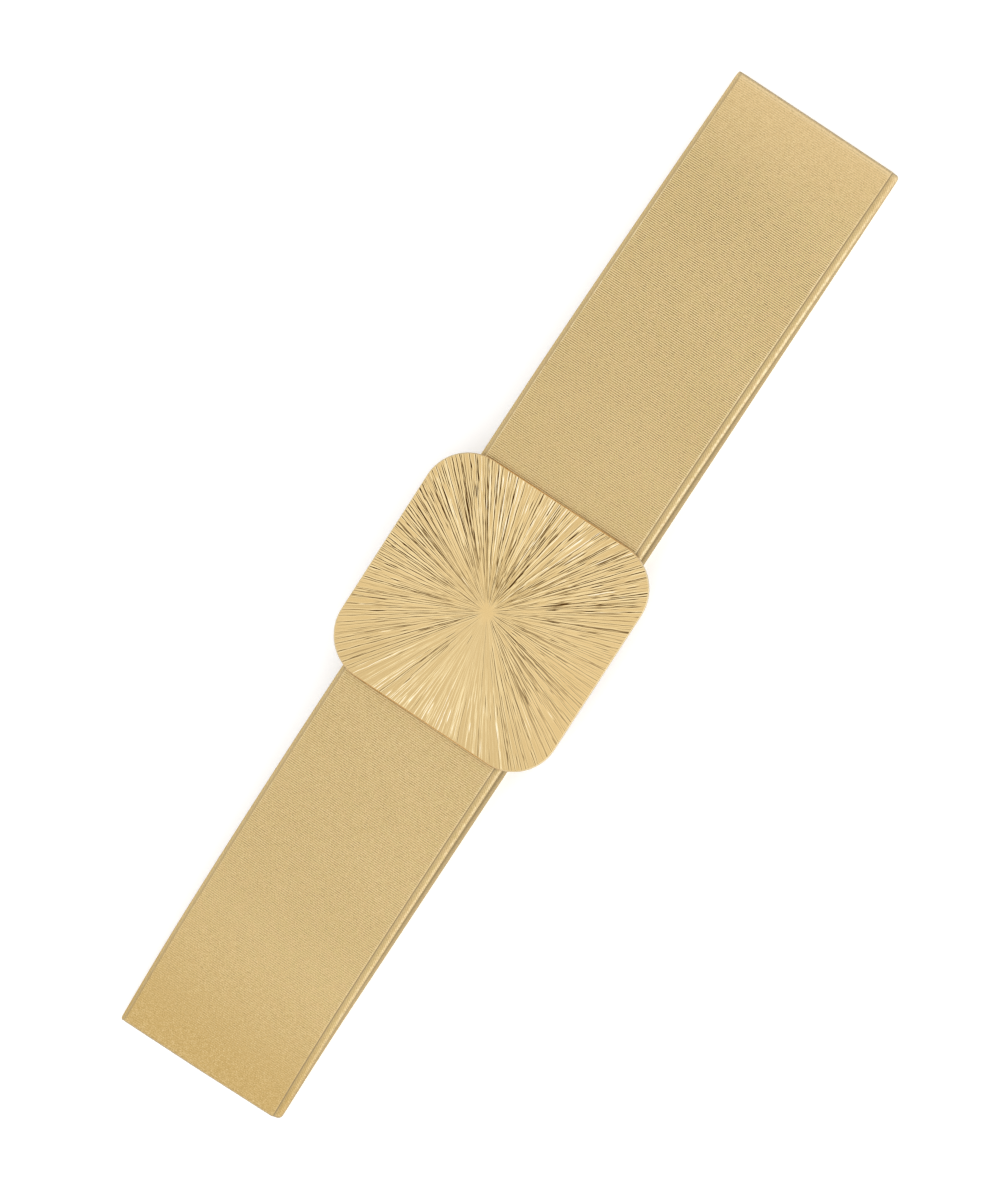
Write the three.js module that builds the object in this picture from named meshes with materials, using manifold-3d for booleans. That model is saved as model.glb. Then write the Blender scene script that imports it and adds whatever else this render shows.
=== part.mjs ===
// Elastic stretch belt with a sunburst plate buckle, fastened and lying flat.
// Millimetres: +X along the belt, +Y across it, +Z up from the surface that it lies on.
// The band is one loop. Its back layer lies on the surface, its front layer rises from the
// folds at both ends to the plate, and its two sewn ends are hidden behind the plate.
import * as THREE from "three";
import { mergeVertices } from "three/addons/utils/BufferGeometryUtils.js";
import Module from "manifold-3d";

const wasm = await Module();
wasm.setup();

// Band: overall sizes
const foldToFold = 355;
const bandWidth = 60;
const bandThick = 1.6;
const foldGap = 0.4; // free space between the two layers inside a fold
const archRise = 12; // how far the front layer climbs from the folded ends to the plate

// Band: woven edges, a wide roll along -Y and a narrow one along +Y, each with a groove inside it
const wideRoll = 2.1;
const narrowRoll = 1.2;
const grooveWide = 0.5;
const grooveDeep = 0.35;

// Band: how each side of the front layer climbs, as a share of the way from the fold to its bar
const climbs = {
  left: { crest: 0.82, bow: 2.0 },
  right: { crest: 0.72, bow: 1.3 },
};

// Band: how the loop lies beside each fold. turn is the fold's own angle, with its +Y end further
// out, and shift is how far it strays towards +Y.
const strayLength = 45;
const strays = {
  left: { turn: THREE.MathUtils.degToRad(1.7), shift: -0.6 },
  right: { turn: THREE.MathUtils.degToRad(0.4), shift: 0 },
};

// Band: each end turns round its bar and is sewn down behind itself
const neckLength = 3;
const hemLength = 12;

// Plate: a domed rounded square of even thickness, hollow behind
const plateLength = 80;
const plateWidth = 80;
const plateCorner = 15.3;
const plateThick = 1.2;
const plateCrown = 6;
const plateX = -4.2; // the plate's centre, from the middle of the band
const plateTurn = THREE.MathUtils.degToRad(0.5);
const rimLand = 3; // flat ring round the hollow
const rimEase = 0.4; // softened upper edge

// Plate: rays cut from the centre to the rim
const rayCount = 96;
const rayDepth = 0.35;
const rayStart = 0.07; // shares of the way to the rim where the rays begin and are full
const rayFull = 0.45;
const rayUneven = 0.4; // share of the depth that differs from ray to ray

// Fittings behind the plate: a fixed bar, a hook and the wire loop that it catches
const wireDia = 2.5;
const barReach = 22; // from the plate's centre to the bar that carries each band end
const hookWidth = 20;
const hookThick = 1.6;
const hookPlay = 2.6; // free space between the hook and the band end in the loop
const lipLength = 1.5;
const solderSink = 0.4; // how deep the fittings run into the plate's wall

// Fineness of round shapes
const wireSides = 10;
const bendSteps = 4;
const wrapSteps = 10;
const foldSteps = 8;
const frontSteps = 18;

// Clearances
const seat = 0.3; // between pieces that rest on each other
const sideClearance = 1; // between the band's edges and the wires beside them

// Levels and places that follow from the sizes
const bandHalf = bandThick / 2;
const wireHalf = wireDia / 2;
const wireBend = wireDia; // radius of the wires' bends, at the middle of the wire
const foldRadius = (bandThick + foldGap) / 2;
const frontLevel = bandHalf + 2 * foldRadius + archRise; // middle of the front layer at the plate
const wrapRadius = wireHalf + seat + bandHalf;
const barLevel = frontLevel - wrapRadius;
const plateBase = frontLevel + bandHalf + seat;
const fixedBarX = plateX - barReach;
const loopBarX = plateX + barReach;
const sideWireY = bandWidth / 2 + sideClearance + wireHalf;
const catchRadius = wireHalf + seat + hookThick / 2;
const loopDepth = catchRadius + hookThick / 2 + hookPlay + bandHalf + wrapRadius;
const catchBarX = loopBarX - loopDepth;

// A line drawn in the XZ plane by straights and arcs; turning left is positive.
class Trace {
  constructor(x, z, heading) {
    Object.assign(this, { x, z, heading, stations: [] });
    this.mark();
  }
  mark() {
    const { x, z, heading } = this;
    this.stations.push({ x, z, tx: Math.cos(heading), tz: Math.sin(heading) });
  }
  straight(length) {
    this.x += length * Math.cos(this.heading);
    this.z += length * Math.sin(this.heading);
    this.mark();
    return this;
  }
  arc(radius, turn, steps) {
    const side = Math.sign(turn);
    for (let i = 0; i < steps; i++) {
      const next = this.heading + turn / steps;
      this.x += side * radius * (Math.sin(next) - Math.sin(this.heading));
      this.z += side * radius * (Math.cos(this.heading) - Math.cos(next));
      this.heading = next;
      this.mark();
    }
    return this;
  }
}

// Sweeps a section, given as points (y across, n to the right of the line), along stations.
function sweep(stations, section, closed = false) {
  const size = section.length;
  const positions = [];
  for (const s of stations)
    for (const p of section) positions.push(s.x + s.tz * p.n, p.y, s.z - s.tx * p.n);
  const index = [];
  const spans = closed ? stations.length : stations.length - 1;
  for (let k = 0; k < spans; k++) {
    const here = k * size;
    const next = ((k + 1) % stations.length) * size;
    for (let j = 0; j < size; j++) {
      const i = (j + 1) % size;
      index.push(here + j, next + j, here + i, here + i, next + j, next + i);
    }
  }
  if (!closed) {
    const outline = section.map((p) => new THREE.Vector2(p.y, p.n));
    const last = (stations.length - 1) * size;
    for (const [a, b, c] of THREE.ShapeUtils.triangulateShape(outline, []))
      index.push(a, b, c, last + c, last + b, last + a);
  }
  const geometry = new THREE.BufferGeometry();
  geometry.setAttribute("position", new THREE.Float32BufferAttribute(positions, 3));
  geometry.setIndex(index);
  return geometry;
}

function roundSection(radius, sides) {
  return Array.from({ length: sides }, (_, i) => {
    const angle = (2 * Math.PI * i) / sides;
    return { y: radius * Math.cos(angle), n: radius * Math.sin(angle) };
  });
}

function solidOf(geometry) {
  const bare = geometry.clone();
  bare.deleteAttribute("normal");
  bare.deleteAttribute("uv");
  const merged = mergeVertices(bare, 1e-4);
  return new wasm.Manifold(
    new wasm.Mesh({
      numProp: 3,
      vertProperties: new Float32Array(merged.attributes.position.array),
      triVerts: new Uint32Array(merged.index.array),
    }),
  );
}

function geometryOf(solid) {
  const mesh = solid.getMesh();
  const geometry = new THREE.BufferGeometry();
  geometry.setAttribute("position", new THREE.BufferAttribute(mesh.vertProperties, 3));
  geometry.setIndex(new THREE.BufferAttribute(mesh.triVerts, 1));
  return geometry;
}

// The band's section: flat inside, and outside a body between two grooves with a roll at each edge.
function bandSection() {
  const roll = (side, width) => {
    const middle = bandWidth / 2 - width / 2;
    const groove = Math.PI - Math.asin(1 - grooveDeep / bandHalf);
    const angles = [-Math.PI / 2, -Math.PI / 4, 0, Math.PI / 4, Math.PI / 2, groove];
    const points = angles.map((a) => ({
      y: side * (middle + (width / 2) * Math.cos(a)),
      n: bandHalf * Math.sin(a),
    }));
    points.push({ y: side * (bandWidth / 2 - width - grooveWide), n: bandHalf });
    return points;
  };
  return [...roll(1, narrowRoll), ...roll(-1, wideRoll).reverse()];
}

// One side of the band, drawn for -X: from the sewn end round its bar, out along the front layer,
// round the fold and onto the back layer.
function bandSide(barOut, { crest, bow }) {
  const backOut = foldToFold / 2 - foldRadius - bandHalf;
  const hemDrop = bandThick + seat;
  const neckTurn =
    Math.acos(hemDrop / Math.hypot(2 * wrapRadius, neckLength)) -
    Math.atan2(neckLength, 2 * wrapRadius);
  const neckReach = 2 * wrapRadius * Math.sin(neckTurn) + neckLength * Math.cos(neckTurn);
  const hemOut = barOut + neckReach + hemLength;
  const wrap = new Trace(-hemOut, frontLevel - hemDrop, 0)
    .straight(hemLength)
    .arc(wrapRadius, -neckTurn, 3)
    .straight(neckLength)
    .arc(wrapRadius, Math.PI + neckTurn, wrapSteps);

  const slope = Math.atan((archRise * bow) / (crest * (backOut - barOut)));
  const startOut = backOut + foldRadius * Math.sin(slope);
  const startLevel = bandHalf + foldRadius * (1 + Math.cos(slope));
  const rise = frontLevel - startLevel;
  const span = startOut - barOut;
  const front = [];
  for (let i = 1; i < frontSteps; i++) {
    const share = 1 - i / frontSteps;
    const left = Math.max(0, 1 - share / crest);
    const fall = (rise * bow * left ** (bow - 1)) / (crest * span);
    const unit = Math.hypot(1, fall);
    front.push({
      x: -(startOut - share * span),
      z: frontLevel - rise * left ** bow,
      tx: -1 / unit,
      tz: -fall / unit,
    });
  }
  const fold = new Trace(-startOut, startLevel, Math.PI + slope);
  fold.arc(foldRadius, Math.PI - slope, foldSteps);
  return [...wrap.stations, ...front, ...fold.stations];
}

// Moves the points beside each fold as the loop strays there.
function letStray(geometry) {
  const place = geometry.attributes.position;
  for (let i = 0; i < place.count; i++) {
    const x = place.getX(i);
    const y = place.getY(i);
    const { turn, shift } = x < 0 ? strays.left : strays.right;
    const inward = foldToFold / 2 - Math.abs(x);
    const share = Math.max(0, 1 - inward / strayLength) ** 2;
    place.setXY(i, x + Math.sign(x) * Math.tan(turn) * y * share, y + shift * share);
  }
  return geometry;
}

function elasticBand() {
  const left = bandSide(-fixedBarX, climbs.left);
  const right = bandSide(loopBarX, climbs.right)
    .map((s) => ({ x: -s.x, z: s.z, tx: s.tx, tz: -s.tz }))
    .reverse();
  return letStray(sweep([...left, ...right], bandSection()));
}

// Distance from the plate's centre to its outline, drawn in by inset, in the direction angle.
function outlineReach(angle, inset) {
  const corner = Math.max(plateCorner - inset, 0);
  const c = Math.abs(Math.cos(angle));
  const s = Math.abs(Math.sin(angle));
  const halfLength = plateLength / 2 - inset;
  const halfWidth = plateWidth / 2 - inset;
  const flat = Math.min(halfLength / c, halfWidth / s);
  const cornerX = halfLength - corner;
  const cornerY = halfWidth - corner;
  if (flat * c <= cornerX || flat * s <= cornerY) return flat;
  const along = c * cornerX + s * cornerY;
  return along + Math.sqrt(along ** 2 - cornerX ** 2 - cornerY ** 2 + corner ** 2);
}

// A block with the plate's outline and a domed top. Odd samples of a rayed top are cut lower.
function domedBlock({ base, wall, inset, samples, rings, ease = 0, rays = 0 }) {
  const positions = [];
  const index = [];
  const top = base + wall;
  const uneven = (i) => 1 - rayUneven * (1 - Math.sin(i * i)); // rays of different depths, in no order
  const put = (share, i, z) => {
    const angle = (2 * Math.PI * i) / samples;
    const reach = share * outlineReach(angle, inset);
    positions.push(reach * Math.cos(angle), reach * Math.sin(angle), z);
  };
  rings.forEach((share, r) => {
    const edge = r === rings.length - 1 ? ease : 0;
    const cut = rays * THREE.MathUtils.smoothstep(share, rayStart, rayFull);
    for (let i = 0; i < samples; i++)
      put(share, i, top + plateCrown * (1 - share ** 2) - edge - (i % 2) * cut * uneven(i));
  });
  for (let i = 0; i < samples; i++) put(1, i, base);
  const under = rings.length * samples;
  const crown = under + samples;
  positions.push(0, 0, top + plateCrown, 0, 0, base);
  for (let i = 0; i < samples; i++) {
    const j = (i + 1) % samples;
    index.push(crown, i, j, crown + 1, under + j, under + i);
    for (let r = 0; r < under; r += samples)
      index.push(r + i, r + samples + i, r + j, r + j, r + samples + i, r + samples + j);
  }
  const geometry = new THREE.BufferGeometry();
  geometry.setAttribute("position", new THREE.Float32BufferAttribute(positions, 3));
  geometry.setIndex(index);
  return geometry.rotateZ(plateTurn).translate(plateX, 0, 0);
}

// Height of the hollow's ceiling above a point of the plate's plane.
function ceiling(x, y) {
  const angle = Math.atan2(y, x - plateX) - plateTurn;
  const share = Math.hypot(x - plateX, y) / outlineReach(angle, rimLand);
  return plateBase + plateCrown * (1 - Math.min(share, 1) ** 2);
}

// The bar that carries the left band end: a wire with both ends bent up to the plate.
function fixedBar() {
  const legTop = ceiling(fixedBarX, sideWireY) + solderSink;
  const leg = legTop - barLevel - wireBend;
  return sweep(
    new Trace(-sideWireY, legTop, -Math.PI / 2)
      .straight(leg)
      .arc(wireBend, Math.PI / 2, bendSteps)
      .straight(2 * (sideWireY - wireBend))
      .arc(wireBend, Math.PI / 2, bendSteps)
      .straight(leg).stations,
    roundSection(wireHalf, wireSides),
  )
    .rotateZ(Math.PI / 2)
    .translate(fixedBarX, 0, 0);
}

// A flat strip that drops from the plate, passes through the loop and curls under its inner bar.
function hook() {
  const limbX = catchBarX + catchRadius;
  const top = ceiling(limbX, 0) + solderSink;
  const half = { y: hookWidth / 2, n: hookThick / 2 };
  return sweep(
    new Trace(limbX, top, -Math.PI / 2)
      .straight(top - barLevel)
      .arc(catchRadius, -Math.PI, wrapSteps)
      .straight(lipLength).stations,
    [
      { y: half.y, n: -half.n },
      { y: half.y, n: half.n },
      { y: -half.y, n: half.n },
      { y: -half.y, n: -half.n },
    ],
  );
}

function bucklePlate() {
  const blank = domedBlock({
    base: plateBase,
    wall: plateThick,
    inset: 0,
    samples: 2 * rayCount,
    rings: [rayStart, 0.2, rayFull, 0.72, 0.93, 1 - (2 * rimEase) / plateLength, 1],
    ease: rimEase,
    rays: rayDepth,
  });
  const hollow = domedBlock({
    base: plateBase - plateThick,
    wall: plateThick,
    inset: rimLand,
    samples: rayCount / 2,
    rings: [0.25, 0.5, 0.75, 1],
  });
  return geometryOf(
    solidOf(blank).subtract(solidOf(hollow)).add(solidOf(fixedBar())).add(solidOf(hook())),
  );
}

// The loop on the other band end: a rounded rectangle of wire, lying level.
function catchLoop() {
  const trace = new Trace(catchBarX + wireBend, -sideWireY, 0);
  for (const side of [loopDepth, 2 * sideWireY, loopDepth, 2 * sideWireY])
    trace.straight(side - 2 * wireBend).arc(wireBend, Math.PI / 2, bendSteps);
  trace.stations.pop(); // the last station is the first one again
  return sweep(trace.stations, roundSection(wireHalf, wireSides), true)
    .rotateX(-Math.PI / 2)
    .translate(0, 0, barLevel);
}

const gold = new THREE.MeshStandardMaterial({ color: 0xe3bf78, roughness: 0.3, metalness: 1 });
const wireGold = new THREE.MeshStandardMaterial({ color: 0xcfa858, roughness: 0.35, metalness: 1 });
const lame = new THREE.MeshStandardMaterial({ color: 0xd3b97d, roughness: 0.55, metalness: 0.4 });

// The folds' turns make one side of the band longer, so the band's middle isn't the belt's.
const reachGain = (Math.tan(strays.left.turn) - Math.tan(strays.right.turn)) * (bandWidth / 2);
const belt = new THREE.Group();
belt.position.x = reachGain / 2;
for (const [name, geometry, material] of [
  ["elastic_band", elasticBand(), lame],
  ["buckle_plate", bucklePlate(), gold],
  ["catch_loop", catchLoop(), wireGold],
]) {
  const mesh = new THREE.Mesh(geometry, material);
  mesh.name = name;
  belt.add(mesh);
}

export default belt;
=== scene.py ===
# Elastic stretch belt with a domed sunburst plate, fastened and lying flat on its back layer.
# Metres: X runs along the belt, Y across it, Z up from the floor.
import math

import bpy
import numpy as np
from mathutils import Matrix, Vector


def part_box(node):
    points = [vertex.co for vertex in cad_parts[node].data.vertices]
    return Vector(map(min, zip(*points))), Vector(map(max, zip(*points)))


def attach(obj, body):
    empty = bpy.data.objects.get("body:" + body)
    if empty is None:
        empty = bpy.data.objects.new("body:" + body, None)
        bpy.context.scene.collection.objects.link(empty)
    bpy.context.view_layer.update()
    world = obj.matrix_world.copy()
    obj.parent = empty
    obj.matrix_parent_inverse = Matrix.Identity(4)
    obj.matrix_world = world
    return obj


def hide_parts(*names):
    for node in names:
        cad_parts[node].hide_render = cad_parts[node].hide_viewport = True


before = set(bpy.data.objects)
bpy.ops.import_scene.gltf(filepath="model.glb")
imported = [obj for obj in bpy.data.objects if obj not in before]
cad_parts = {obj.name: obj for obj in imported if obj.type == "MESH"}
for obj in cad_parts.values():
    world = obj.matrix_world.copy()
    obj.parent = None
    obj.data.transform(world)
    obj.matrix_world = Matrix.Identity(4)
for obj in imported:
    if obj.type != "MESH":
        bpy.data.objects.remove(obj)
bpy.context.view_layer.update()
band_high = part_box("elastic_band")[1]
plate_low, plate_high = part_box("buckle_plate")

MM = 0.001
SEED = 7

# View: a camera nearly straight above the belt, fitted to the photograph
PHOTO_HEIGHT = 1200
SENSOR = 36.0
FOCAL_PIXELS = 4791.8  # in the photograph's pixels
CAMERA_DISTANCE = 1500 * MM
CAMERA_LEAN_X = math.radians(4.94)  # towards +X
CAMERA_LEAN_Y = math.radians(7.68)  # towards -Y
CAMERA_ROLL = math.radians(33.65)
AIM = Vector((-0.55 * MM, 1.9 * MM, 0))

# Band: the sizes that its solid has
FOLD_TO_FOLD = 355 * MM
BAND_WIDTH = 60 * MM
BAND_THICK = 1.6 * MM
FOLD_GAP = 0.4 * MM
WIDE_ROLL = 2.1 * MM
NARROW_ROLL = 1.2 * MM
GROOVE_WIDE = 0.5 * MM
GROOVE_DEEP = 0.35 * MM
# The front layer's climb ends at its crest, a share of the way from the fold to the bar, and bow is
# the power of its curve
CLIMBS = {"left": {"crest": 0.82, "bow": 2.0}, "right": {"crest": 0.72, "bow": 1.3}}
NECK_LENGTH = 3 * MM
HEM_LENGTH = 12 * MM
# The loop strays from a straight line over this length at each fold
STRAY_LENGTH = 45 * MM
STRAYS = {"left": {"turn": math.radians(1.7), "shift": -0.6 * MM},
          "right": {"turn": math.radians(0.4), "shift": 0}}

# Band: the weave, as ribs across it and columns of yarn along it
RIB_PITCH = 0.665 * MM
RIB_DEPTH = 0.11 * MM
RIB_PROFILE = ((0.0, -1.0), (0.28, 0.0), (0.72, 0.0))  # share of the pitch, height in rib depths
COLUMN_PITCH = 0.93 * MM
PRESSED_LENGTH = 18 * MM  # the weave is pressed smooth this far from each fold
PRESSED_SHARE = 0.45  # of the ribs' height is left at a fold
STRAND_PITCH = 1.3 * RIB_PITCH  # slanting strands show where the ribs fade at the edges
STRAND_SLANT = 0.8

# Band: its section at a woven edge. A roll is given by degrees round it, from below, and its tone,
# which is painted light: 1 is painted shade, dull, 2 darker painted shade, and below 0 a painted
# highlight. The groove's points are given inwards from the roll in groove widths and upwards from
# its foot in groove depths, then the way out (y, n), the share of ribs and the tone beside a wide
# roll and a narrow one.
WIDE_ROUND = ((-90, 1.0), (-45, 0.6), (-5, 0.45), (20, -0.15), (50, -0.42), (80, -0.1))
NARROW_ROUND = ((-90, 1.0), (-45, 1.0), (-5, 1.1), (20, 0.6), (50, 0.15), (85, 0.1))
ROLL_RIBS = 0.5
UNDER_RIBS = 0.6
GROOVE_ROUND = ((-0.1, 0.28, 0.7, 0.7, 0.2, (0.6, 1.15)), (0.33, 0, 0, 1, 0.2, (1.9, 0.4)),
                (0.75, 0.8, -0.5, 0.8, 0.5, (0.2, -0.2)), (1.0, 1, 0, 1, 0.8, (-0.4, -0.5)),
                (1.35, 1, 0, 1, 1, (-0.2, 0)), (1.9, 1, 0, 1, 1, (0, 0)))
CLOSED_LENGTH = (0.8 * MM, 3 * MM)  # the grooves close between these distances from a fold
CLOSED_SHARE = 0.8  # of their depth
CORNER_PULL = {"left": 1.2 * MM, "right": 0.3 * MM}  # how far each fold's -Y corner is drawn in
CORNER_WIDTH = 6 * MM

# Plate
PLATE_LENGTH = 80 * MM
PLATE_WIDTH = 80 * MM
PLATE_CORNER = 15.3 * MM
PLATE_THICK = 1.2 * MM
PLATE_CROWN = 6 * MM
PLATE_TURN = math.radians(0.5)
RIM_LAND = 3 * MM
RIM_EASE = 0.2 * MM
FOOT_EASE = 0.25 * MM

# Fittings behind the plate
WIRE_DIAMETER = 2.5 * MM
BAR_REACH = 22 * MM
HOOK_WIDTH = 20 * MM
HOOK_THICK = 1.6 * MM
HOOK_EASE = 0.3 * MM
HOOK_PLAY = 2.6 * MM
LIP_LENGTH = 1.5 * MM
SOLDER_SINK = 0.4 * MM
SEAT = 0.3 * MM
SIDE_CLEARANCE = 1 * MM

# Levels and places that follow
BAND_HALF = BAND_THICK / 2
WIRE_HALF = WIRE_DIAMETER / 2
WIRE_BEND = WIRE_DIAMETER
FOLD_RADIUS = (BAND_THICK + FOLD_GAP) / 2
FRONT_LEVEL = band_high.z - BAND_HALF
WRAP_RADIUS = WIRE_HALF + SEAT + BAND_HALF
BAR_LEVEL = FRONT_LEVEL - WRAP_RADIUS
PLATE_BASE = FRONT_LEVEL + BAND_HALF + SEAT
PLATE_X = (plate_low.x + plate_high.x) / 2
FIXED_BAR_X = PLATE_X - BAR_REACH
LOOP_BAR_X = PLATE_X + BAR_REACH
SIDE_WIRE_Y = BAND_WIDTH / 2 + SIDE_CLEARANCE + WIRE_HALF
CATCH_RADIUS = WIRE_HALF + SEAT + HOOK_THICK / 2
LOOP_DEPTH = CATCH_RADIUS + HOOK_THICK / 2 + HOOK_PLAY + BAND_HALF + WRAP_RADIUS
CATCH_BAR_X = LOOP_BAR_X - LOOP_DEPTH
BAND_X = (math.tan(STRAYS["left"]["turn"]) - math.tan(STRAYS["right"]["turn"])) * BAND_WIDTH / 4


def smoothstep(low, high, x):
    t = np.clip((x - low) / (high - low), 0, 1)
    return t * t * (3 - 2 * t)


def add_mesh(name, points, faces, smooth=True):
    mesh = bpy.data.meshes.new(name)
    mesh.from_pydata([tuple(p) for p in points], [], [tuple(f) for f in faces])
    mesh.validate()
    if smooth:
        mesh.shade_smooth()
    else:
        mesh.shade_flat()
    obj = bpy.data.objects.new(name, mesh)
    bpy.context.collection.objects.link(obj)
    return obj


def ring_faces(inner, inner_size, outer, outer_size):
    """Faces between two rings that start at these points; one may be some times finer."""
    j = np.arange(max(inner_size, outer_size))

    def point(start, size, k):
        return start + (k * size // len(j)) % size

    a, b = point(inner, inner_size, j), point(inner, inner_size, j + 1)
    c, d = point(outer, outer_size, j + 1), point(outer, outer_size, j)
    faces = np.stack([a, d, c, b], -1).tolist()
    return [list(dict.fromkeys(f)) for f in faces]


def grid_faces(rows, size, closed_rows=False):
    """Quads between rows of size points each, every row being a closed ring."""
    spans = rows if closed_rows else rows - 1
    k, j = np.meshgrid(np.arange(spans), np.arange(size), indexing="ij")
    here, after = k * size, (k + 1) % rows * size
    i = (j + 1) % size
    return np.stack([here + j, after + j, after + i, here + i], -1).reshape(-1, 4).tolist()


class Trace:
    """A line in the XZ plane, drawn by straights and arcs; turning left is positive."""

    STEP = 0.1 * MM

    def __init__(self, x, z, heading):
        self.x, self.z, self.heading = x, z, heading
        self.points = [(x, z, heading)]

    def straight(self, length):
        return self.bend(length, 0)

    def arc(self, radius, turn):
        return self.bend(radius * abs(turn), turn)

    def bend(self, length, turn):
        steps = max(2, math.ceil(length / self.STEP))
        part = length / steps
        for _ in range(steps):
            middle = self.heading + turn / steps / 2
            self.x += part * math.cos(middle)
            self.z += part * math.sin(middle)
            self.heading += turn / steps
            self.points.append((self.x, self.z, self.heading))
        return self


def band_side(bar_out, crest, bow):
    """Half the band's line, drawn for -X: from its sewn end round the bar, out and round the fold."""
    back_out = FOLD_TO_FOLD / 2 - FOLD_RADIUS - BAND_HALF
    hem_drop = BAND_THICK + SEAT
    span = math.hypot(2 * WRAP_RADIUS, NECK_LENGTH)
    neck_turn = math.acos(hem_drop / span) - math.atan2(NECK_LENGTH, 2 * WRAP_RADIUS)
    neck_reach = 2 * WRAP_RADIUS * math.sin(neck_turn) + NECK_LENGTH * math.cos(neck_turn)
    wrap = Trace(-(bar_out + neck_reach + HEM_LENGTH), FRONT_LEVEL - hem_drop, 0)
    wrap.straight(HEM_LENGTH).arc(WRAP_RADIUS, -neck_turn).straight(NECK_LENGTH)
    wrap.arc(WRAP_RADIUS, math.pi + neck_turn)

    arch = FRONT_LEVEL - BAND_HALF - 2 * FOLD_RADIUS
    slope = math.atan(arch * bow / (crest * (back_out - bar_out)))
    start_out = back_out + FOLD_RADIUS * math.sin(slope)
    start_level = BAND_HALF + FOLD_RADIUS * (1 + math.cos(slope))
    rise, reach = FRONT_LEVEL - start_level, start_out - bar_out
    front = []
    for out in np.arange(bar_out, start_out, Trace.STEP)[1:]:
        left = max(0.0, 1 - (start_out - out) / reach / crest)
        fall = rise * bow * left ** (bow - 1) / (crest * reach)
        front.append((-out, FRONT_LEVEL - rise * left**bow, math.pi + math.atan(fall)))
    fold = Trace(-start_out, start_level, math.pi + slope).arc(FOLD_RADIUS, math.pi - slope)
    return wrap.points + front + fold.points


def band_line():
    """The whole band's line as arrays: distance along it, x, z and heading."""
    left = np.array(band_side(BAND_X - FIXED_BAR_X, **CLIMBS["left"]))
    right = np.array(band_side(LOOP_BAR_X - BAND_X, **CLIMBS["right"]))[::-1]
    right = np.stack([-right[:, 0], right[:, 1], 4 * math.pi - right[:, 2]], 1)
    line = np.concatenate([left, right])
    along = np.concatenate([[0], np.cumsum(np.hypot(*np.diff(line[:, :2], axis=0).T))])
    return along, line[:, 0], line[:, 1], line[:, 2]


def section_edge(side, width, roll_round):
    """One woven edge from under its roll to the body, as rows of y, n, the way out, share of ribs,
    tone and how deep the point lies in the groove."""
    inner = BAND_WIDTH / 2 - width
    rows = []
    for degrees, tone in roll_round:
        c, s = math.cos(math.radians(degrees)), math.sin(math.radians(degrees))
        rows.append((inner + width / 2 * (1 + c), BAND_HALF * s, c, s, ROLL_RIBS, tone, 0))
    for inward, up, out_y, out_n, ribs, tones in GROOVE_ROUND:
        tone = tones[0 if width == WIDE_ROLL else 1]
        sunk = (1 - up) * GROOVE_DEEP
        rows.append((inner - inward * GROOVE_WIDE, BAND_HALF - sunk, out_y, out_n, ribs, tone, sunk))
    return [(side * y, n, side * out_y, *rest) for y, n, out_y, *rest in rows]


def band_section():
    """All rows round the band's section, from under the narrow roll over the top and back."""
    middle = (0.0, BAND_HALF, 0.0, 1.0, 1.0, 0.0, 0.0)
    under = (0.0, -BAND_HALF, 0.0, -1.0, UNDER_RIBS, 0.0, 0.0)
    narrow = section_edge(1, NARROW_ROLL, NARROW_ROUND)
    wide = section_edge(-1, WIDE_ROLL, WIDE_ROUND)[::-1]
    return np.array([*narrow, middle, *wide, under])


def strayed(x, y):
    """The points beside each fold, moved as the loop strays there."""
    left, right = STRAYS["left"], STRAYS["right"]
    lean = np.where(x < 0, -math.tan(left["turn"]), math.tan(right["turn"]))
    shift = np.where(x < 0, left["shift"], right["shift"])
    pull = np.where(x < 0, CORNER_PULL["left"], -CORNER_PULL["right"])
    corner = np.clip(1 - (y + BAND_WIDTH / 2) / CORNER_WIDTH, 0, 1) ** 2
    share = np.maximum(0, 1 - (FOLD_TO_FOLD / 2 - np.abs(x)) / STRAY_LENGTH) ** 2
    return x + (lean * y + pull * corner) * share, y + shift * share


def store(mesh, name, kind, field, values):
    """Keeps values at the mesh's points for its material."""
    layer = mesh.attributes.new(name, kind, "POINT")
    layer.data.foreach_set(field, np.asarray(values, dtype=np.float32).ravel())


def make_band():
    """The woven band, and its length when flat."""
    along, x, z, heading = band_line()
    total = along[-1]
    ribs = int(total / RIB_PITCH)
    phases, heights = np.array(RIB_PROFILE).T
    at = (np.arange(ribs)[:, None] + phases).ravel() * RIB_PITCH
    px, pz = np.interp(at, along, x), np.interp(at, along, z)
    turn = np.interp(at, along, heading)
    tx, tz = np.cos(turn)[:, None], np.sin(turn)[:, None]
    from_fold = FOLD_TO_FOLD / 2 - np.abs(px)
    pressed = PRESSED_SHARE + (1 - PRESSED_SHARE) * smoothstep(0, PRESSED_LENGTH, from_fold)
    rise = (np.tile(heights, ribs) * RIB_DEPTH * pressed)[:, None]

    y, n, out_y, out_n, rib_share, tone, sunk = band_section().T
    closed = CLOSED_SHARE * (1 - smoothstep(*CLOSED_LENGTH, from_fold))[:, None]
    n = n + rise * out_n * rib_share + sunk * closed
    flat_x, flat_y = strayed(px[:, None] + tz * n, y + rise * out_y * rib_share)
    points = np.stack([BAND_X + flat_x, flat_y, pz[:, None] - tx * n], -1).reshape(-1, 3)
    faces = grid_faces(len(at), len(y))
    last = (len(at) - 1) * len(y)
    faces += [list(range(len(y) - 1, -1, -1)), list(range(last, last + len(y)))]
    band = add_mesh("elastic_band_woven", points, faces)
    weave = np.stack(np.broadcast_arrays(at[:, None], y, from_fold[:, None]), -1)
    store(band.data, "weave", "FLOAT_VECTOR", "vector", weave)
    store(band.data, "tone", "FLOAT", "value", np.tile(tone, len(at)))
    store(band.data, "ribbed", "FLOAT", "value", np.tile(rib_share, len(at)))
    return band, total


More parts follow.
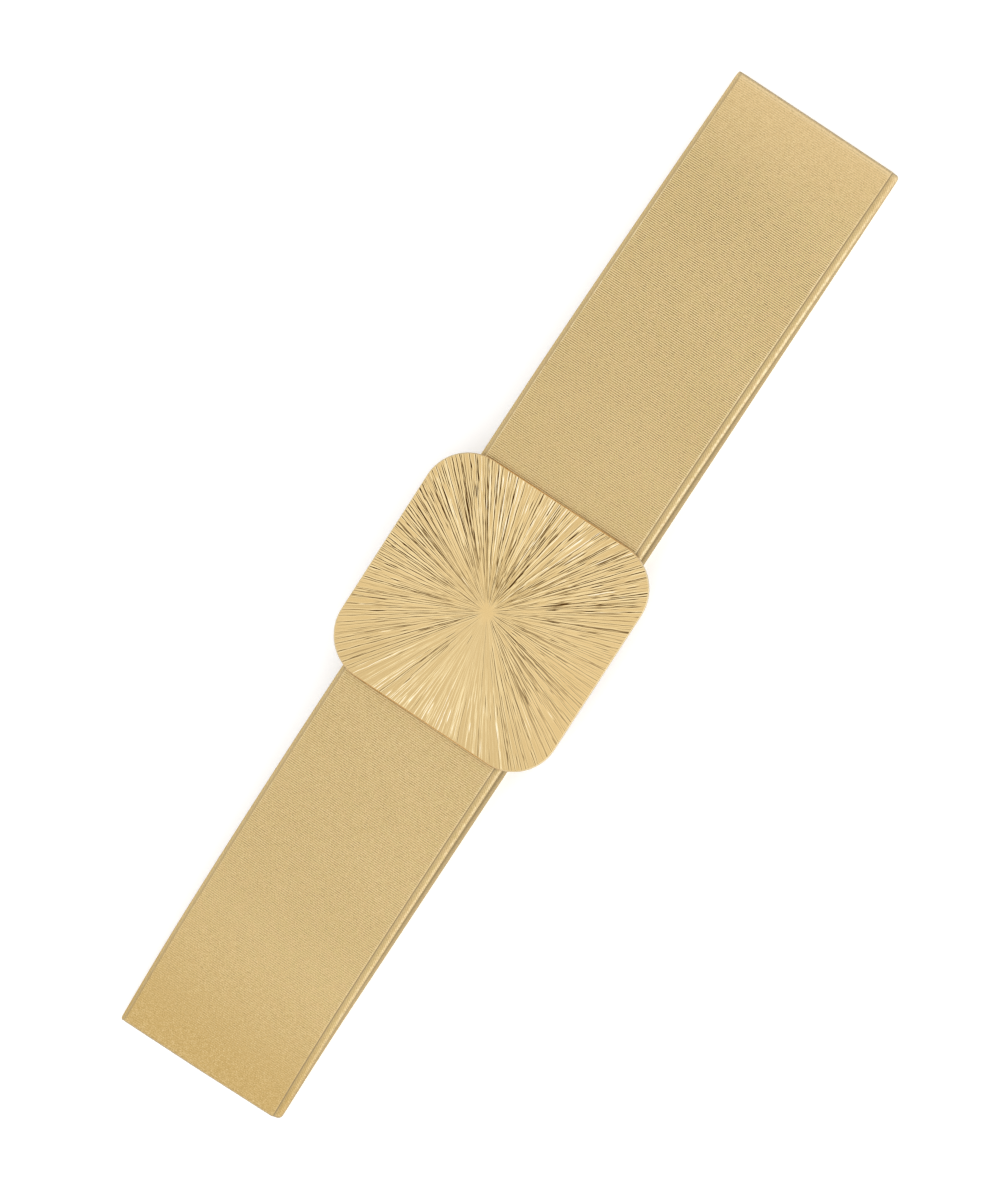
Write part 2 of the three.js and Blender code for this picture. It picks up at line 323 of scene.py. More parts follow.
def outline_reach(angle, inset=0.0):
    """Distance from the plate's centre to its outline, drawn in by inset."""
    corner = max(PLATE_CORNER - inset, 0)
    c, s = np.abs(np.cos(angle)), np.abs(np.sin(angle))
    half_length, half_width = PLATE_LENGTH / 2 - inset, PLATE_WIDTH / 2 - inset
    flat = np.minimum(half_length / np.maximum(c, 1e-9), half_width / np.maximum(s, 1e-9))
    corner_x, corner_y = half_length - corner, half_width - corner
    along = c * corner_x + s * corner_y
    room = np.maximum(along**2 - corner_x**2 - corner_y**2 + corner**2, 0)
    rounded = along + np.sqrt(room)
    straight = (flat * c <= corner_x) | (flat * s <= corner_y)
    return np.where(straight, flat, rounded)


# Plate: rays cut from near the centre outwards, each a little different. Lengths in millimetres;
# steep is the slope of a cut's sides at its lips, strong how much its painted tone stands out, ends
# how long it tapers, and a fan keeps to that many degrees each side of +X. Where bright is given, it
# scales the chance that a cut is bright. A cut's tone is painted reflection, dark in dark cuts and
# bright in bright ones.
CUTS = (
    {"count": 100, "fan": None, "start": (1.6, 4.5), "length": (50, 50), "width": (0.24, 0.36),
     "steep": (0.1, 0.3), "strong": (0.35, 0.95), "ends": 0.6},
    {"count": 170, "fan": None, "start": (4, 30), "length": (50, 50), "width": (0.24, 0.38),
     "steep": (0.1, 0.3), "strong": (0.15, 0.8), "ends": 2},
    {"count": 420, "fan": 180, "start": (6, 40), "length": (5, 24), "width": (0.24, 0.38),
     "steep": (0.1, 0.35), "strong": (0.15, 0.85), "ends": 2},
    {"count": 330, "fan": 180, "start": (8, 46), "length": (1, 6), "width": (0.26, 0.44),
     "steep": (0.3, 0.5), "strong": (0.5, 1.0), "ends": 0.6},
    {"count": 260, "fan": 58, "start": (6, 44), "length": (3, 14), "width": (0.26, 0.42),
     "steep": (0.3, 0.5), "strong": (0.5, 1.0), "ends": 1},
    {"count": 58, "fan": 23, "start": (3, 15), "length": (2, 6), "width": (0.26, 0.42),
     "steep": (0.3, 0.5), "strong": (0.5, 0.9), "ends": 0.8, "bright": 0.4},
)
JITTER = 0.35  # how far a cut all round the plate lies off its even place, as a share of the spacing
WEAK_BIAS = 1.5  # above 1, more cuts are weak than strong
NARROW_UNTIL = 26 * MM  # cuts are narrower than their full width nearer the centre than this
NARROW_SHARE = 0.6
WANDER = (0.02 * MM, 0.09 * MM)  # how far a cut strays sideways from its ray
WANDER_LENGTH = (5 * MM, 16 * MM)
SWELL = 0.2  # a cut's width swells and shrinks by this share
SWELL_RATE = 1.7  # times as often as it wanders
LEAST_HALF = 0.6  # half a cut's least width, in samples
WIDEST_REACH = 0.5  # a cut is worked out no further than this from its ray, in radians
TONE_GAIN = 2  # a cut's tone is full over its middle and fades at its sides
LIP_GLEAM = 0.5  # a dark cut's lips carry a painted highlight, at this share of its strength
LIP_PLACE = 1.9  # how far from its middle they shine, in half widths
BRIGHT_WIDTH = 0.75  # share of its width that a bright cut keeps
# The chance that a cut is bright, and the share of its strength that a bright one keeps near the
# centre and far from it, by its degrees off +X; then that share for dark ones, by degrees round
# from +X
# Bright and dark cuts are painted reflections, so how often and how strongly they show changes with their
# direction round the plate.
BRIGHT_CHANCES = ((0, 0.5), (30, 0.45), (50, 0.1), (75, 0), (110, 0), (130, 0.1), (155, 0.85),
                  (180, 0.95))
BRIGHT_NEAR = ((0, 0.65), (60, 0.7), (110, 1), (145, 0.35), (180, 0.42))
BRIGHT_FAR = ((0, 1.1), (110, 1), (145, 0.9), (180, 1.15))
NEAR, FAR = 12 * MM, 38 * MM  # from the centre, for these shares and those below
DARK_NEAR = ((0, 0.92), (45, 0.5), (90, 0.7), (135, 0.95), (180, 0.6), (225, 0.95), (270, 0.8),
             (315, 0.75), (360, 0.92))
DARK_FAR = ((0, 1.0), (45, 1.3), (90, 1.25), (135, 0.7), (180, 0.5), (225, 0.6), (270, 0.35),
            (315, 1.15), (360, 1.0))
RIM_TONE = 1.5  # tones of the plain rim and the side wall, which no cut reaches
WALL_TONE = 2.5

# Plate: its rings, by their samples and their shares of the way out. The centre's rings have fewer
# samples than the rayed ones. Near the outline, rings are counted inwards in eased edges.
CENTRE_SAMPLES = 1440
RAY_SAMPLES = 2880
BACK_SAMPLES = 720
CENTRE_SHARE = 0.36
EASE_SHARE = 2 * RIM_EASE / PLATE_LENGTH
CENTRE_RINGS = np.linspace(0.02, CENTRE_SHARE, 14)
OUTER_RINGS = np.linspace(CENTRE_SHARE, 1 - 3 * EASE_SHARE, 19)[1:]
RIM_EASES = 1.3  # the plain rim's width
EDGE_RINGS = 1 - EASE_SHARE * np.array([1.6, RIM_EASES + 0.03, RIM_EASES - 0.03, 0.5, 0])
CUTS_FADE = (1 - 2.5 * EASE_SHARE, 1 - 0.4 * EASE_SHARE)
EDGE_FALLS = (1 - EASE_SHARE, 1 + 0.5 * EASE_SHARE)
BACK_RINGS = (0.92, 0.75, 0.5, 0.25)


def off_fan(angle):
    """Degrees between a direction and +X."""
    return abs(math.degrees(math.atan2(math.sin(angle), math.cos(angle))))


def planned_cuts():
    rng = np.random.default_rng(SEED)
    cuts = []
    for kind in CUTS:
        for i in range(kind["count"]):
            if kind["fan"] is None:  # evenly round the plate
                angle = 2 * math.pi * (i + rng.uniform(-JITTER, JITTER)) / kind["count"]
            else:
                angle = math.radians(kind["fan"] * (2 * (i + rng.uniform(0, 1)) / kind["count"] - 1))
            start, length, width = (rng.uniform(*kind[k]) * MM for k in ("start", "length", "width"))
            chance = rng.uniform(0, 1) ** WEAK_BIAS
            steep, strong = (low + (high - low) * chance for low, high in (kind["steep"], kind["strong"]))
            angle %= 2 * math.pi
            bright_chance = kind.get("bright", 1) * np.interp(off_fan(angle), *zip(*BRIGHT_CHANCES))
            bright = rng.uniform(0, 1) < bright_chance
            gleam = 1 if bright else LIP_GLEAM
            kept = (BRIGHT_NEAR, BRIGHT_FAR) if bright else (DARK_NEAR, DARK_FAR)
            direction = off_fan(angle) if bright else math.degrees(angle)
            cuts.append({
                "angle": angle, "start": start, "stop": start + length, "ends": kind["ends"] * MM,
                "width": width * (BRIGHT_WIDTH if bright else 1), "depth": steep * width / 4,
                "dark": 0.0 if bright else strong, "gleam": strong * gleam,
                "gleam_at": 0.0 if bright else LIP_PLACE,
                "near": np.interp(direction, *zip(*kept[0])),
                "far": np.interp(direction, *zip(*kept[1])),
                "wander": rng.uniform(*WANDER), "wave": rng.uniform(*WANDER_LENGTH),
                "phase": rng.uniform(0, 2 * math.pi),
            })
    return cuts


def cut_rays(angles, radii, cuts):
    """Depth of the cuts at each radius row and angle column, and their tone of painted reflection, dark
    below 0.
    """
    depth, tone = np.zeros(radii.shape), np.zeros(radii.shape)
    spacing = 2 * math.pi / len(angles)
    for cut in cuts:
        reach = min(WIDEST_REACH, 2 * (cut["width"] + cut["wander"]) / cut["start"])
        reach = int(reach / spacing) + 2
        middle = int(round(cut["angle"] / spacing))
        cols = np.arange(middle - reach, middle + reach + 1) % len(angles)
        away = (angles[cols] - cut["angle"] + math.pi) % (2 * math.pi) - math.pi
        r = radii[:, cols]
        wave = 2 * math.pi * r / cut["wave"] + cut["phase"]
        half = cut["width"] / 2 * (NARROW_SHARE + (1 - NARROW_SHARE) * smoothstep(0, NARROW_UNTIL, r))
        half = np.maximum(half, r * spacing * LEAST_HALF)
        half = half * (1 - SWELL + SWELL * np.sin(SWELL_RATE * wave))
        across = (away[None, :] * r - cut["wander"] * np.sin(wave)) / half
        length = smoothstep(cut["start"], cut["start"] + cut["ends"], r)
        length = length * (1 - smoothstep(cut["stop"] - cut["ends"], cut["stop"], r))
        hollow = np.clip(1 - across**2, 0, 1) * length
        gleam = np.clip(1 - (np.abs(across) - cut["gleam_at"]) ** 2, 0, 1) * length
        depth[:, cols] = np.maximum(depth[:, cols], cut["depth"] * hollow)
        own = cut["gleam"] * np.minimum(1, TONE_GAIN * gleam)
        own = own - cut["dark"] * np.minimum(1, TONE_GAIN * hollow)
        own = own * (cut["near"] + (cut["far"] - cut["near"]) * smoothstep(NEAR, FAR, r))
        tone[:, cols] = np.where(np.abs(own) > np.abs(tone[:, cols]), own, tone[:, cols])
    return depth, tone


def round_the_plate(samples):
    return 2 * math.pi * np.arange(samples) / samples


def level_ring(samples, share, inset, z, tone=0.0):
    """One ring of points: x, y, z and tone."""
    angles = round_the_plate(samples)
    r = share * outline_reach(angles, inset)
    flat = np.broadcast_to([z, tone], (samples, 2))
    return np.column_stack([r * np.cos(angles), r * np.sin(angles), flat])


def rayed_rings(samples, shares, cuts):
    """Rings of the plate's cut top, at these shares of the way out."""
    angles = round_the_plate(samples)
    radii = shares[:, None] * outline_reach(angles)[None, :]
    depth, tone = cut_rays(angles, radii, cuts)
    kept = 1 - smoothstep(*CUTS_FADE, shares)[:, None]
    z = PLATE_BASE + PLATE_THICK + PLATE_CROWN * (1 - shares[:, None] ** 2) - depth * kept
    z -= RIM_EASE * smoothstep(*EDGE_FALLS, shares)[:, None]
    x, y = radii * np.cos(angles), radii * np.sin(angles)
    tone = np.where(shares[:, None] > 1 - EASE_SHARE * RIM_EASES, RIM_TONE, tone * kept)
    return list(np.stack([x, y, z, tone], -1))


def plate_blank():
    """The domed plate as points, faces and tones: rayed top, side wall, flat rim and hollow back."""
    cuts = planned_cuts()
    rings = rayed_rings(CENTRE_SAMPLES, CENTRE_RINGS, cuts)
    rings += rayed_rings(RAY_SAMPLES, np.concatenate([OUTER_RINGS, EDGE_RINGS]), cuts)
    for z in (PLATE_BASE + PLATE_THICK - 2 * RIM_EASE, PLATE_BASE + FOOT_EASE):
        rings.append(level_ring(BACK_SAMPLES, 1, 0, z, WALL_TONE))
    for inset in (FOOT_EASE, RIM_LAND):
        rings.append(level_ring(BACK_SAMPLES, 1, inset, PLATE_BASE))
    for share in BACK_RINGS:
        z = PLATE_BASE + PLATE_CROWN * (1 - share**2)
        rings.append(level_ring(BACK_SAMPLES, share, RIM_LAND, z))
    starts = np.cumsum([0] + [len(r) for r in rings])
    faces = []
    for k in range(len(rings) - 1):
        faces += ring_faces(starts[k], len(rings[k]), starts[k + 1], len(rings[k + 1]))
    top, under = starts[-1], starts[-1] + 1
    peak = PLATE_BASE + PLATE_CROWN
    points = np.concatenate(rings + [[[0, 0, peak + PLATE_THICK, 0], [0, 0, peak, 0]]])
    for i in range(CENTRE_SAMPLES):
        faces.append([top, i, (i + 1) % CENTRE_SAMPLES])
    for i in range(BACK_SAMPLES):
        faces.append([under, starts[-2] + (i + 1) % BACK_SAMPLES, starts[-2] + i])
    turn = Matrix.Rotation(PLATE_TURN, 3, "Z")
    place = points[:, :3] @ np.array(turn.transposed())
    place[:, 0] += PLATE_X
    return place, faces, points[:, 3]


def ceiling(x, y):
    """Level of the plate's hollow back above this place."""
    angle = math.atan2(y, x - PLATE_X) - PLATE_TURN
    share = math.hypot(x - PLATE_X, y) / float(outline_reach(np.array(angle), RIM_LAND))
    return PLATE_BASE + PLATE_CROWN * (1 - min(share, 1) ** 2)


def sweep(stations, section, closed=False):
    """Sweeps (y, n) section points along (x, z, heading) stations."""
    st = np.array(stations)
    sec = np.array(section)
    tx, tz = np.cos(st[:, 2])[:, None], np.sin(st[:, 2])[:, None]
    n = sec[None, :, 1]
    y = np.broadcast_to(sec[None, :, 0], (len(st), len(sec)))
    points = np.stack([st[:, 0][:, None] + tz * n, y, st[:, 1][:, None] - tx * n], -1).reshape(-1, 3)
    faces = grid_faces(len(st), len(sec), closed)
    if not closed:
        last = (len(st) - 1) * len(sec)
        faces += [list(range(len(sec) - 1, -1, -1)), list(range(last, last + len(sec)))]
    return points, faces


WIRE_SIDES = 24
STATION_STEP = 4  # wires and the hook need only every fourth station of their lines


def wire_section():
    turn = 2 * math.pi / WIRE_SIDES
    return [(WIRE_HALF * math.cos(i * turn), WIRE_HALF * math.sin(i * turn)) for i in range(WIRE_SIDES)]


def thinned(points):
    """Fewer stations, with the first and last ones."""
    return points[:-1:STATION_STEP] + points[-1:]


def fixed_bar():
    leg_top = ceiling(FIXED_BAR_X, SIDE_WIRE_Y) + SOLDER_SINK
    leg = leg_top - BAR_LEVEL - WIRE_BEND
    trace = Trace(-SIDE_WIRE_Y, leg_top, -math.pi / 2).straight(leg).arc(WIRE_BEND, math.pi / 2)
    trace.straight(2 * (SIDE_WIRE_Y - WIRE_BEND)).arc(WIRE_BEND, math.pi / 2).straight(leg)
    points, faces = sweep(thinned(trace.points), wire_section())
    turned = np.stack([FIXED_BAR_X - points[:, 1], points[:, 0], points[:, 2]], -1)
    return turned, faces


def hook():
    limb_x = CATCH_BAR_X + CATCH_RADIUS
    top = ceiling(limb_x, 0) + SOLDER_SINK
    trace = Trace(limb_x, top, -math.pi / 2).straight(top - BAR_LEVEL)
    trace.arc(CATCH_RADIUS, -math.pi).straight(LIP_LENGTH)
    y, n, ease = HOOK_WIDTH / 2, HOOK_THICK / 2, HOOK_EASE
    section = [(y, -n + ease), (y, n - ease), (y - ease, n), (-y + ease, n),
               (-y, n - ease), (-y, -n + ease), (-y + ease, -n), (y - ease, -n)]
    return sweep(thinned(trace.points), section)


def joined(parts):
    """Several lots of points and faces as one."""
    points, faces, start = [], [], 0
    for part_points, part_faces in parts:
        points.append(np.asarray(part_points))
        faces += [[i + start for i in f] for f in part_faces]
        start += len(part_points)
    return np.concatenate(points), faces


def make_plate():
    blank_points, blank_faces, tone = plate_blank()
    points, faces = joined([(blank_points, blank_faces), fixed_bar(), hook()])
    made = add_mesh("buckle_plate_sunburst", points, faces)
    store(made.data, "tone", "FLOAT", "value", np.pad(tone, (0, len(points) - len(tone))))
    return made


def make_loop():
    trace = Trace(CATCH_BAR_X + WIRE_BEND, -SIDE_WIRE_Y, 0)
    for side in (LOOP_DEPTH, 2 * SIDE_WIRE_Y) * 2:
        trace.straight(side - 2 * WIRE_BEND).arc(WIRE_BEND, math.pi / 2)
    points, faces = sweep(trace.points[:-1:STATION_STEP], wire_section(), closed=True)
    turned = np.stack([points[:, 0], points[:, 2], BAR_LEVEL - points[:, 1]], -1)
    return add_mesh("catch_loop_wire", turned, faces)


class Nodes:
    """A short way to write node trees."""

    def __init__(self, tree):
        self.tree = tree
        tree.nodes.clear()

    def add(self, kind, inputs=(), **settings):
        node = self.tree.nodes.new(kind)
        for key, value in settings.items():
            setattr(node, key, value)
        for key, value in dict(inputs).items():
            if isinstance(value, bpy.types.NodeSocket):
                self.tree.links.new(value, node.inputs[key])
            else:
                node.inputs[key].default_value = value
        return node

    def math(self, operation, *values):
        node = self.add("ShaderNodeMath", dict(enumerate(values)), operation=operation)
        return node.outputs[0]

    def times(self, *values):
        product = values[0]
        for value in values[1:]:
            product = self.math("MULTIPLY", product, value)
        return product

    def place(self):
        return self.add("ShaderNodeTexCoord").outputs["Object"]

    def split(self, vector):
        return self.add("ShaderNodeSeparateXYZ", {0: vector}).outputs

    def stored(self, name, output="Fac"):
        """Values that store() keeps at the mesh's points."""
        return self.add("ShaderNodeAttribute", attribute_name=name).outputs[output]

    def noise(self, vector, scale, detail=2.0, roughness=0.5):
        found = self.add("ShaderNodeTexNoise", {"Vector": vector, "Scale": scale, "Detail": detail,
                                                "Roughness": roughness})
        return found.outputs["Fac"]

    def remap(self, value, low, high, to_low, to_high, kind="LINEAR"):
        node = self.add("ShaderNodeMapRange", {0: value, 1: low, 2: high, 3: to_low, 4: to_high},
                        interpolation_type=kind)
        return node.outputs[0]

    def blend(self, factor, a, b):
        node = self.add("ShaderNodeMix", data_type="RGBA")
        for key, value in (("Factor_Float", factor), ("A_Color", a), ("B_Color", b)):
            socket = next(s for s in node.inputs if s.identifier == key)
            if isinstance(value, bpy.types.NodeSocket):
                self.tree.links.new(value, socket)
            else:
                socket.default_value = value
        return next(s for s in node.outputs if s.identifier == "Result_Color")

    def layered(self, base, *layers):
        """The base with each layer's colour over it, as far as its mask says."""
        for mask, colour in layers:
            base = self.blend(mask, base, linear(*colour))
        return base

    def bump(self, height, distance, strength=1.0):
        node = self.add("ShaderNodeBump", {"Height": height, "Distance": distance, "Strength": strength})
        return node.outputs["Normal"]

    def surface(self, **inputs):
        shader = self.add("ShaderNodeBsdfPrincipled", inputs)
        self.add("ShaderNodeOutputMaterial", {"Surface": shader.outputs[0]})
        return shader


def new_material(name):
    material = bpy.data.materials.new(name)
    material.use_nodes = True
    return material, Nodes(material.node_tree)


def linear(red, green, blue):
    """A colour given as 0 to 255 values on screen, as the shader takes it."""
    def one(c):
        c /= 255
        return c / 12.92 if c <= 0.04045 else ((c + 0.055) / 1.055) ** 2.4
    return (one(red), one(green), one(blue), 1.0)


def weave_masks(n, weave, ribbed, along):
    """Where the weave's crests show, for a painted highlight, and its valleys, the pits in them and the
    strands beside it, for painted shade.
    """
    u, v, from_fold = n.split(weave)
    row = n.times(u, 2 * math.pi / RIB_PITCH)
    column = n.times(v, 2 * math.pi / COLUMN_PITCH)
    body = n.remap(ribbed, 0.65, 1.0, 0.0, 1.0)
    away = n.remap(from_fold, 4 * MM, 40 * MM, 0.3, 1.0, "SMOOTHSTEP")
    patches = n.remap(n.noise(weave, 420.0), 0.35, 0.65, 0.55, 1.0)
    smooth_left = n.remap(along, -140 * MM, -105 * MM, 0.42, 0.58)
    crisp_right = n.remap(along, -20 * MM, 110 * MM, 0.4, 1.0)
    shown = n.times(body, away, patches, n.math("MAXIMUM", smooth_left, crisp_right))
    wave = n.math("COSINE", row)
    crest = n.times(n.remap(wave, -0.3, -0.95, 0.0, 1.0), shown)
    valley = n.times(n.remap(wave, -0.2, 0.9, 0.0, 1.0), shown)
    stagger = n.times(n.math("COSINE", n.times(row, 0.5)), n.math("COSINE", column))
    even_pits = n.times(n.remap(stagger, 0.1, 0.9, 0.0, 0.42), valley)
    chance_pits = n.times(n.remap(n.noise(weave, 900.0, 1.0), 0.5, 0.68, 0.0, 0.55), valley)
    pit = n.math("MAXIMUM", even_pits, chance_pits)
    slant = n.math("ADD", u, n.times(v, STRAND_SLANT))
    twist = n.math("COSINE", n.times(slant, 2 * math.pi / STRAND_PITCH))
    strand = n.times(n.remap(twist, 0.0, 1.0, 0.0, 0.4), n.math("SUBTRACT", 1.0, body))
    return crest, valley, pit, strand


def webbing_gold(n, weave, along):
    """The webbing's gold from place to place, with painted shade and light along and across it, without
    its weave and its edges.
    """
    v, from_fold = n.split(weave)[1:3]
    broad = n.remap(n.noise(weave, 22.0), 0.3, 0.7, 0.0, 1.0)
    inner = n.math("MINIMUM", n.remap(along, -140 * MM, -110 * MM, 0.0, 0.2),
                   n.remap(along, 75 * MM, 100 * MM, 0.2, 0.0))
    fold_light = n.times(n.remap(from_fold, 2.6 * MM, 1.2 * MM, 0.0, 0.5),
                         n.remap(along, -10 * MM, 10 * MM, 0.1, 1.0))
    # Over a random gold: painted shade on the +Y side, away from the softbox, over the middle around the
    # plate, and darker and warmer towards the -X end; painted light towards the +X end and on each fold's
    # bend; a thin painted shadow along each fold's outer edge.
    return n.layered(
        n.blend(broad, linear(204, 179, 121), linear(210, 185, 129)),
        (n.remap(n.noise(weave, 300.0), 0.35, 0.65, 0.0, 0.3), (216, 178, 132)),
        (n.remap(v, -28 * MM, 28 * MM, 0.0, 0.3), (192, 164, 108)),
        (inner, (182, 154, 100)),
        (n.remap(along, -170 * MM, -127 * MM, 1.0, 0.0), (192, 160, 96)),
        (n.remap(along, 150 * MM, 175 * MM, 0.0, 1.0), (213, 184, 131)),
        (fold_light, (236, 212, 166)),
        (n.remap(from_fold, 1.15 * MM, 0.95 * MM, 0.0, 0.75), (112, 94, 72)),
    )


def webbing_material():
    material, n = new_material("gold_webbing")
    weave, tone, ribbed = n.stored("weave", "Vector"), n.stored("tone"), n.stored("ribbed")
    along, from_fold = n.split(n.place())[0], n.split(weave)[2]
    crest, valley, pit, strand = weave_masks(n, weave, ribbed, along)
    speck = n.noise(weave, 2600.0, 1.0)
    # Painted shade where the section's tone is above 0 (the rolls' outer faces and the grooves), darker
    # painted shade where it is above 1, and a painted highlight where it is below 0, stronger towards +X
    # and away from the folds.
    painted_edge_shade = n.times(tone, 0.7)
    deep = n.times(n.math("SUBTRACT", tone, 1.0), 0.85)
    shine = n.times(tone, n.remap(along, -100 * MM, 100 * MM, -0.6, -1.5),
                    n.remap(from_fold, 4 * MM, 45 * MM, 0.3, 1.0),
                    n.remap(n.noise(weave, 800.0), 0.35, 0.65, 0.3, 1.15))
    # Over the gold: the yarn's own light and dark specks, then a painted highlight on the rib crests,
    # painted shade in the valleys, the slanting strands and the pits, and the painted shade and highlight
    # set by the tone.
    colour = n.layered(
        webbing_gold(n, weave, along),
        (n.remap(speck, 0.5, 0.7, 0.0, 0.5), (236, 214, 164)),
        (n.remap(speck, 0.45, 0.3, 0.0, 0.45), (160, 132, 78)),
        (n.times(crest, 0.55), (250, 230, 180)),
        (n.times(n.math("MAXIMUM", valley, strand), 0.66), (120, 94, 46)),
        (pit, (66, 46, 18)),
        (painted_edge_shade, (166, 146, 106)),
        (deep, (96, 72, 34)),
        (shine, (252, 238, 200)),
    )
    n.surface(**{
        "Base Color": colour,
        "Metallic": n.remap(tone, 0.0, 1.0, 0.5, 0.1),
        "Roughness": n.remap(speck, 0.3, 0.7, 0.38, 0.58),
        "Normal": n.bump(n.math("SUBTRACT", n.times(speck, 0.35), pit), 0.06 * MM, 0.8),
    })
    return material


def plate_material():
    material, n = new_material("gold_plate")
    place, tone = n.place(), n.stored("tone")
    x, y = n.split(place)[:2]
    x = n.math("SUBTRACT", x, PLATE_X)
    radius = n.math("SQRT", n.math("ADD", n.times(x, x), n.times(y, y)))
    divisor = n.math("MAXIMUM", radius, 1 * MM)
    facing = n.math("DIVIDE", x, divisor)
    turns = n.math("DIVIDE", 90.0, divisor)
    fan = n.add("ShaderNodeCombineXYZ", {0: n.times(x, turns), 1: n.times(y, turns),
                                         2: n.times(radius, 110.0)}).outputs[0]
    fine = n.noise(fan, 3.0, 3.0, 0.65)
    outside = n.remap(radius, 2 * MM, 5 * MM, 0.0, 1.0, "SMOOTHSTEP")
    broad = n.remap(n.noise(place, 60.0), 0.3, 0.7, 0.0, 1.0)
    painted_dark_fan = n.times(n.remap(facing, 0.6, 1.0, 0.0, 0.5, "SMOOTHSTEP"),
                    n.remap(radius, 26 * MM, 14 * MM, 0.3, 1.0, "SMOOTHSTEP"))
    beside = n.remap(facing, -0.5, -0.9, 0.0, 0.5, "SMOOTHSTEP")
    dark = n.remap(tone, 0.0, -0.75, 0.0, 1.0)
    bright = n.remap(tone, 0.0, 0.6, 0.0, 0.85)
    glint = n.remap(tone, 0.5, 0.95, 0.0, 0.9)
    # Over a random gold: a painted dark reflection in the fan towards +X near the centre, painted shade
    # darkening towards the rim and on the -X side (beside), fine dark grain along the rays, then the
    # cuts' painted reflections: dark streaks, bright streaks and white glints.
    rayed = n.layered(
        n.blend(broad, linear(215, 186, 131), linear(221, 193, 140)),
        (n.times(painted_dark_fan, outside), (186, 154, 94)),
        (n.remap(radius, 20 * MM, 38 * MM, 0.0, 0.25), (196, 166, 112)),
        (n.times(beside, outside), (197, 171, 121)),
        (n.times(n.remap(fine, 0.55, 0.72, 0.0, 0.2), outside), (150, 112, 54)),
        (dark, (72, 42, 2)),
        (bright, (248, 228, 178)),
        (glint, (255, 250, 236)),
    )
    rim = n.remap(tone, 1.0, RIM_TONE, 0.0, 1.0)
    wall = n.remap(tone, RIM_TONE, WALL_TONE - 0.2, 0.0, 1.0)
    # The rim and side wall take painted light: orange-brown painted shade and reflection of the band at
    # +X and -X, and a pale painted reflection of the white surroundings at +Y and -Y.
    pale_reflection = n.remap(n.math("ABSOLUTE", y), 20 * MM, 34 * MM, 0.0, 1.0)
    rim_shade_and_reflection = n.blend(pale_reflection, linear(214, 166, 98), linear(214, 196, 158))
    wall_shade_and_reflection = n.blend(pale_reflection, linear(200, 146, 76), linear(196, 186, 168))
    n.surface(**{
        "Base Color": n.blend(wall, n.blend(rim, rayed, rim_shade_and_reflection), wall_shade_and_reflection),
        "Metallic": 1.0,
        "Roughness": n.math("ADD", n.remap(fine, 0.3, 0.7, 0.12, 0.24), n.times(rim, 0.3)),
        "Normal": n.bump(fine, 0.02 * MM, outside),
    })
    return material


def wire_material():
    material, n = new_material("gold_wire")
    place = n.place()
    drawn = n.noise(place, 900.0)
    n.surface(**{
        "Base Color": n.blend(n.noise(place, 120.0), linear(196, 152, 82), linear(222, 182, 112)),
        "Metallic": 1.0,
        "Roughness": n.remap(drawn, 0.3, 0.7, 0.25, 0.42),
        "Normal": n.bump(drawn, 0.02 * MM, 0.5),
    })
    return material


# Floor: a lit table, which keeps the shadows faint
FLOOR_HALF = 3.0
FLOOR_DROP = 0.02 * MM
FLOOR_GLOW = 0.28


def floor_material():
    material, n = new_material("studio_floor")
    paper = n.blend(n.noise(n.place(), 8.0), (0.93, 0.93, 0.93, 1), (0.95, 0.95, 0.95, 1))
    n.surface(**{"Base Color": paper, "Roughness": 0.9, "Specular IOR Level": 0.1,
                 "Emission Color": (1, 1, 1, 1), "Emission Strength": FLOOR_GLOW})
    return material


def make_floor():
    sides = ((-1, -1), (1, -1), (1, 1), (-1, 1))
    corners = [(x * FLOOR_HALF, y * FLOOR_HALF, -FLOOR_DROP) for x, y in sides]
    floor = add_mesh("studio_floor", corners, [(0, 1, 2, 3)], smooth=False)
    floor.data.materials.append(floor_material())


def make_camera():
    data = bpy.data.cameras.new("camera")
    data.sensor_width = SENSOR
    data.lens = FOCAL_PIXELS * SENSOR / PHOTO_HEIGHT
    data.clip_start, data.clip_end = 0.05, 20
    camera = bpy.data.objects.new("camera", data)
    bpy.context.collection.objects.link(camera)
    back = Vector((math.tan(CAMERA_LEAN_X), -math.tan(CAMERA_LEAN_Y), 1)).normalized()
    up = Vector((math.cos(CAMERA_ROLL), math.sin(CAMERA_ROLL), 0))
    up = (up - up.dot(back) * back).normalized()
    axes = Matrix((up.cross(back), up, back)).transposed()
    camera.matrix_world = Matrix.Translation(AIM + CAMERA_DISTANCE * back) @ axes.to_4x4()
    bpy.context.scene.camera = camera


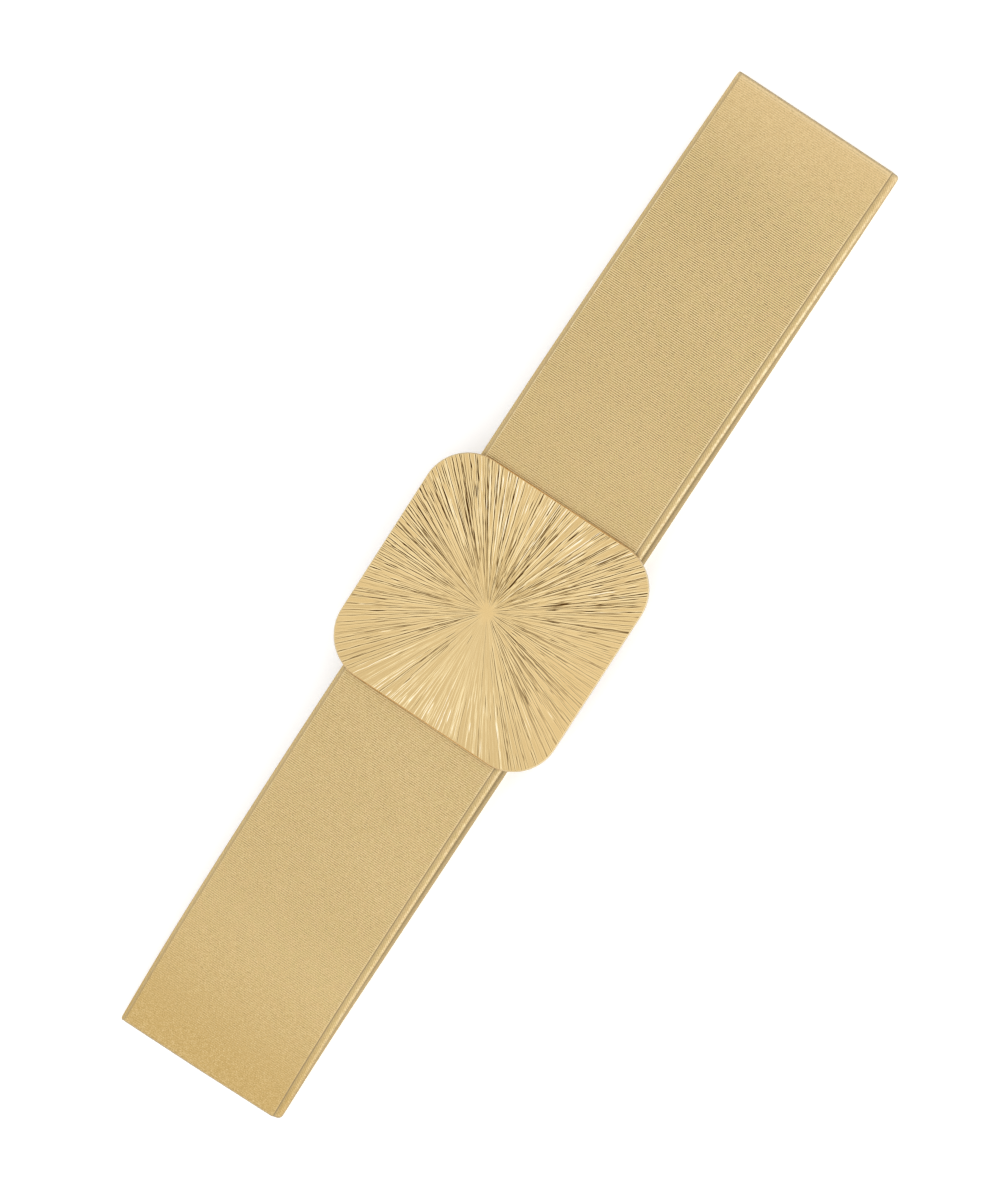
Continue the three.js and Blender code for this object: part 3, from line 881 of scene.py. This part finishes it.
def area_light(name, place, size, power):
    data = bpy.data.lights.new(name, "AREA")
    data.shape = "RECTANGLE"
    data.size, data.size_y = size
    data.energy = power
    light = bpy.data.objects.new(name, data)
    light.location = place
    light.rotation_euler = (AIM - Vector(place)).to_track_quat("-Z", "Y").to_euler()
    bpy.context.collection.objects.link(light)


# Studio: a white tent, brighter above, with a dark gap low down beyond +X and +Y and a long
# softbox beyond -Y
SOFTBOX = {"place": (-0.2, -1.5, 1.25), "size": (2.2, 0.5), "power": 7.6}
TENT = 1.17
GAP_AZIMUTH = math.radians(38)
GAP_HEIGHT = math.radians(20)
GAP_INNER = math.cos(math.radians(10))
GAP_OUTER = math.cos(math.radians(26))
GAP_SHADE = 0.15


def make_lights():
    area_light("softbox", **SOFTBOX)
    low = math.cos(GAP_HEIGHT)
    gap = Vector((low * math.cos(GAP_AZIMUTH), low * math.sin(GAP_AZIMUTH), math.sin(GAP_HEIGHT)))
    world = bpy.data.worlds.new("studio")
    world.use_nodes = True
    bpy.context.scene.world = world
    n = Nodes(world.node_tree)
    toward = n.add("ShaderNodeTexCoord").outputs["Generated"]
    tent = n.remap(n.split(toward)[2], 0.05, 0.55, 0.55, 1.0, "SMOOTHSTEP")
    facing = n.add("ShaderNodeVectorMath", {0: toward, 1: gap}, operation="DOT_PRODUCT")
    dark = n.remap(facing.outputs["Value"], GAP_OUTER, GAP_INNER, 1.0, GAP_SHADE, "SMOOTHSTEP")
    strength = n.times(tent, dark, TENT)
    light = n.add("ShaderNodeBackground", {"Color": (1, 1, 1, 1), "Strength": strength})
    n.add("ShaderNodeOutputWorld", {"Surface": light.outputs[0]})
    bpy.context.scene.view_settings.view_transform = "Standard"


def dress(piece, node, material):
    piece.data.materials.append(material)
    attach(piece, "root")
    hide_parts(node)


make_camera()
make_floor()
make_lights()

plate = make_plate()
dress(plate, "buckle_plate", plate_material())
loop = make_loop()
dress(loop, "catch_loop", wire_material())
band, band_length = make_band()
dress(band, "elastic_band", webbing_material())
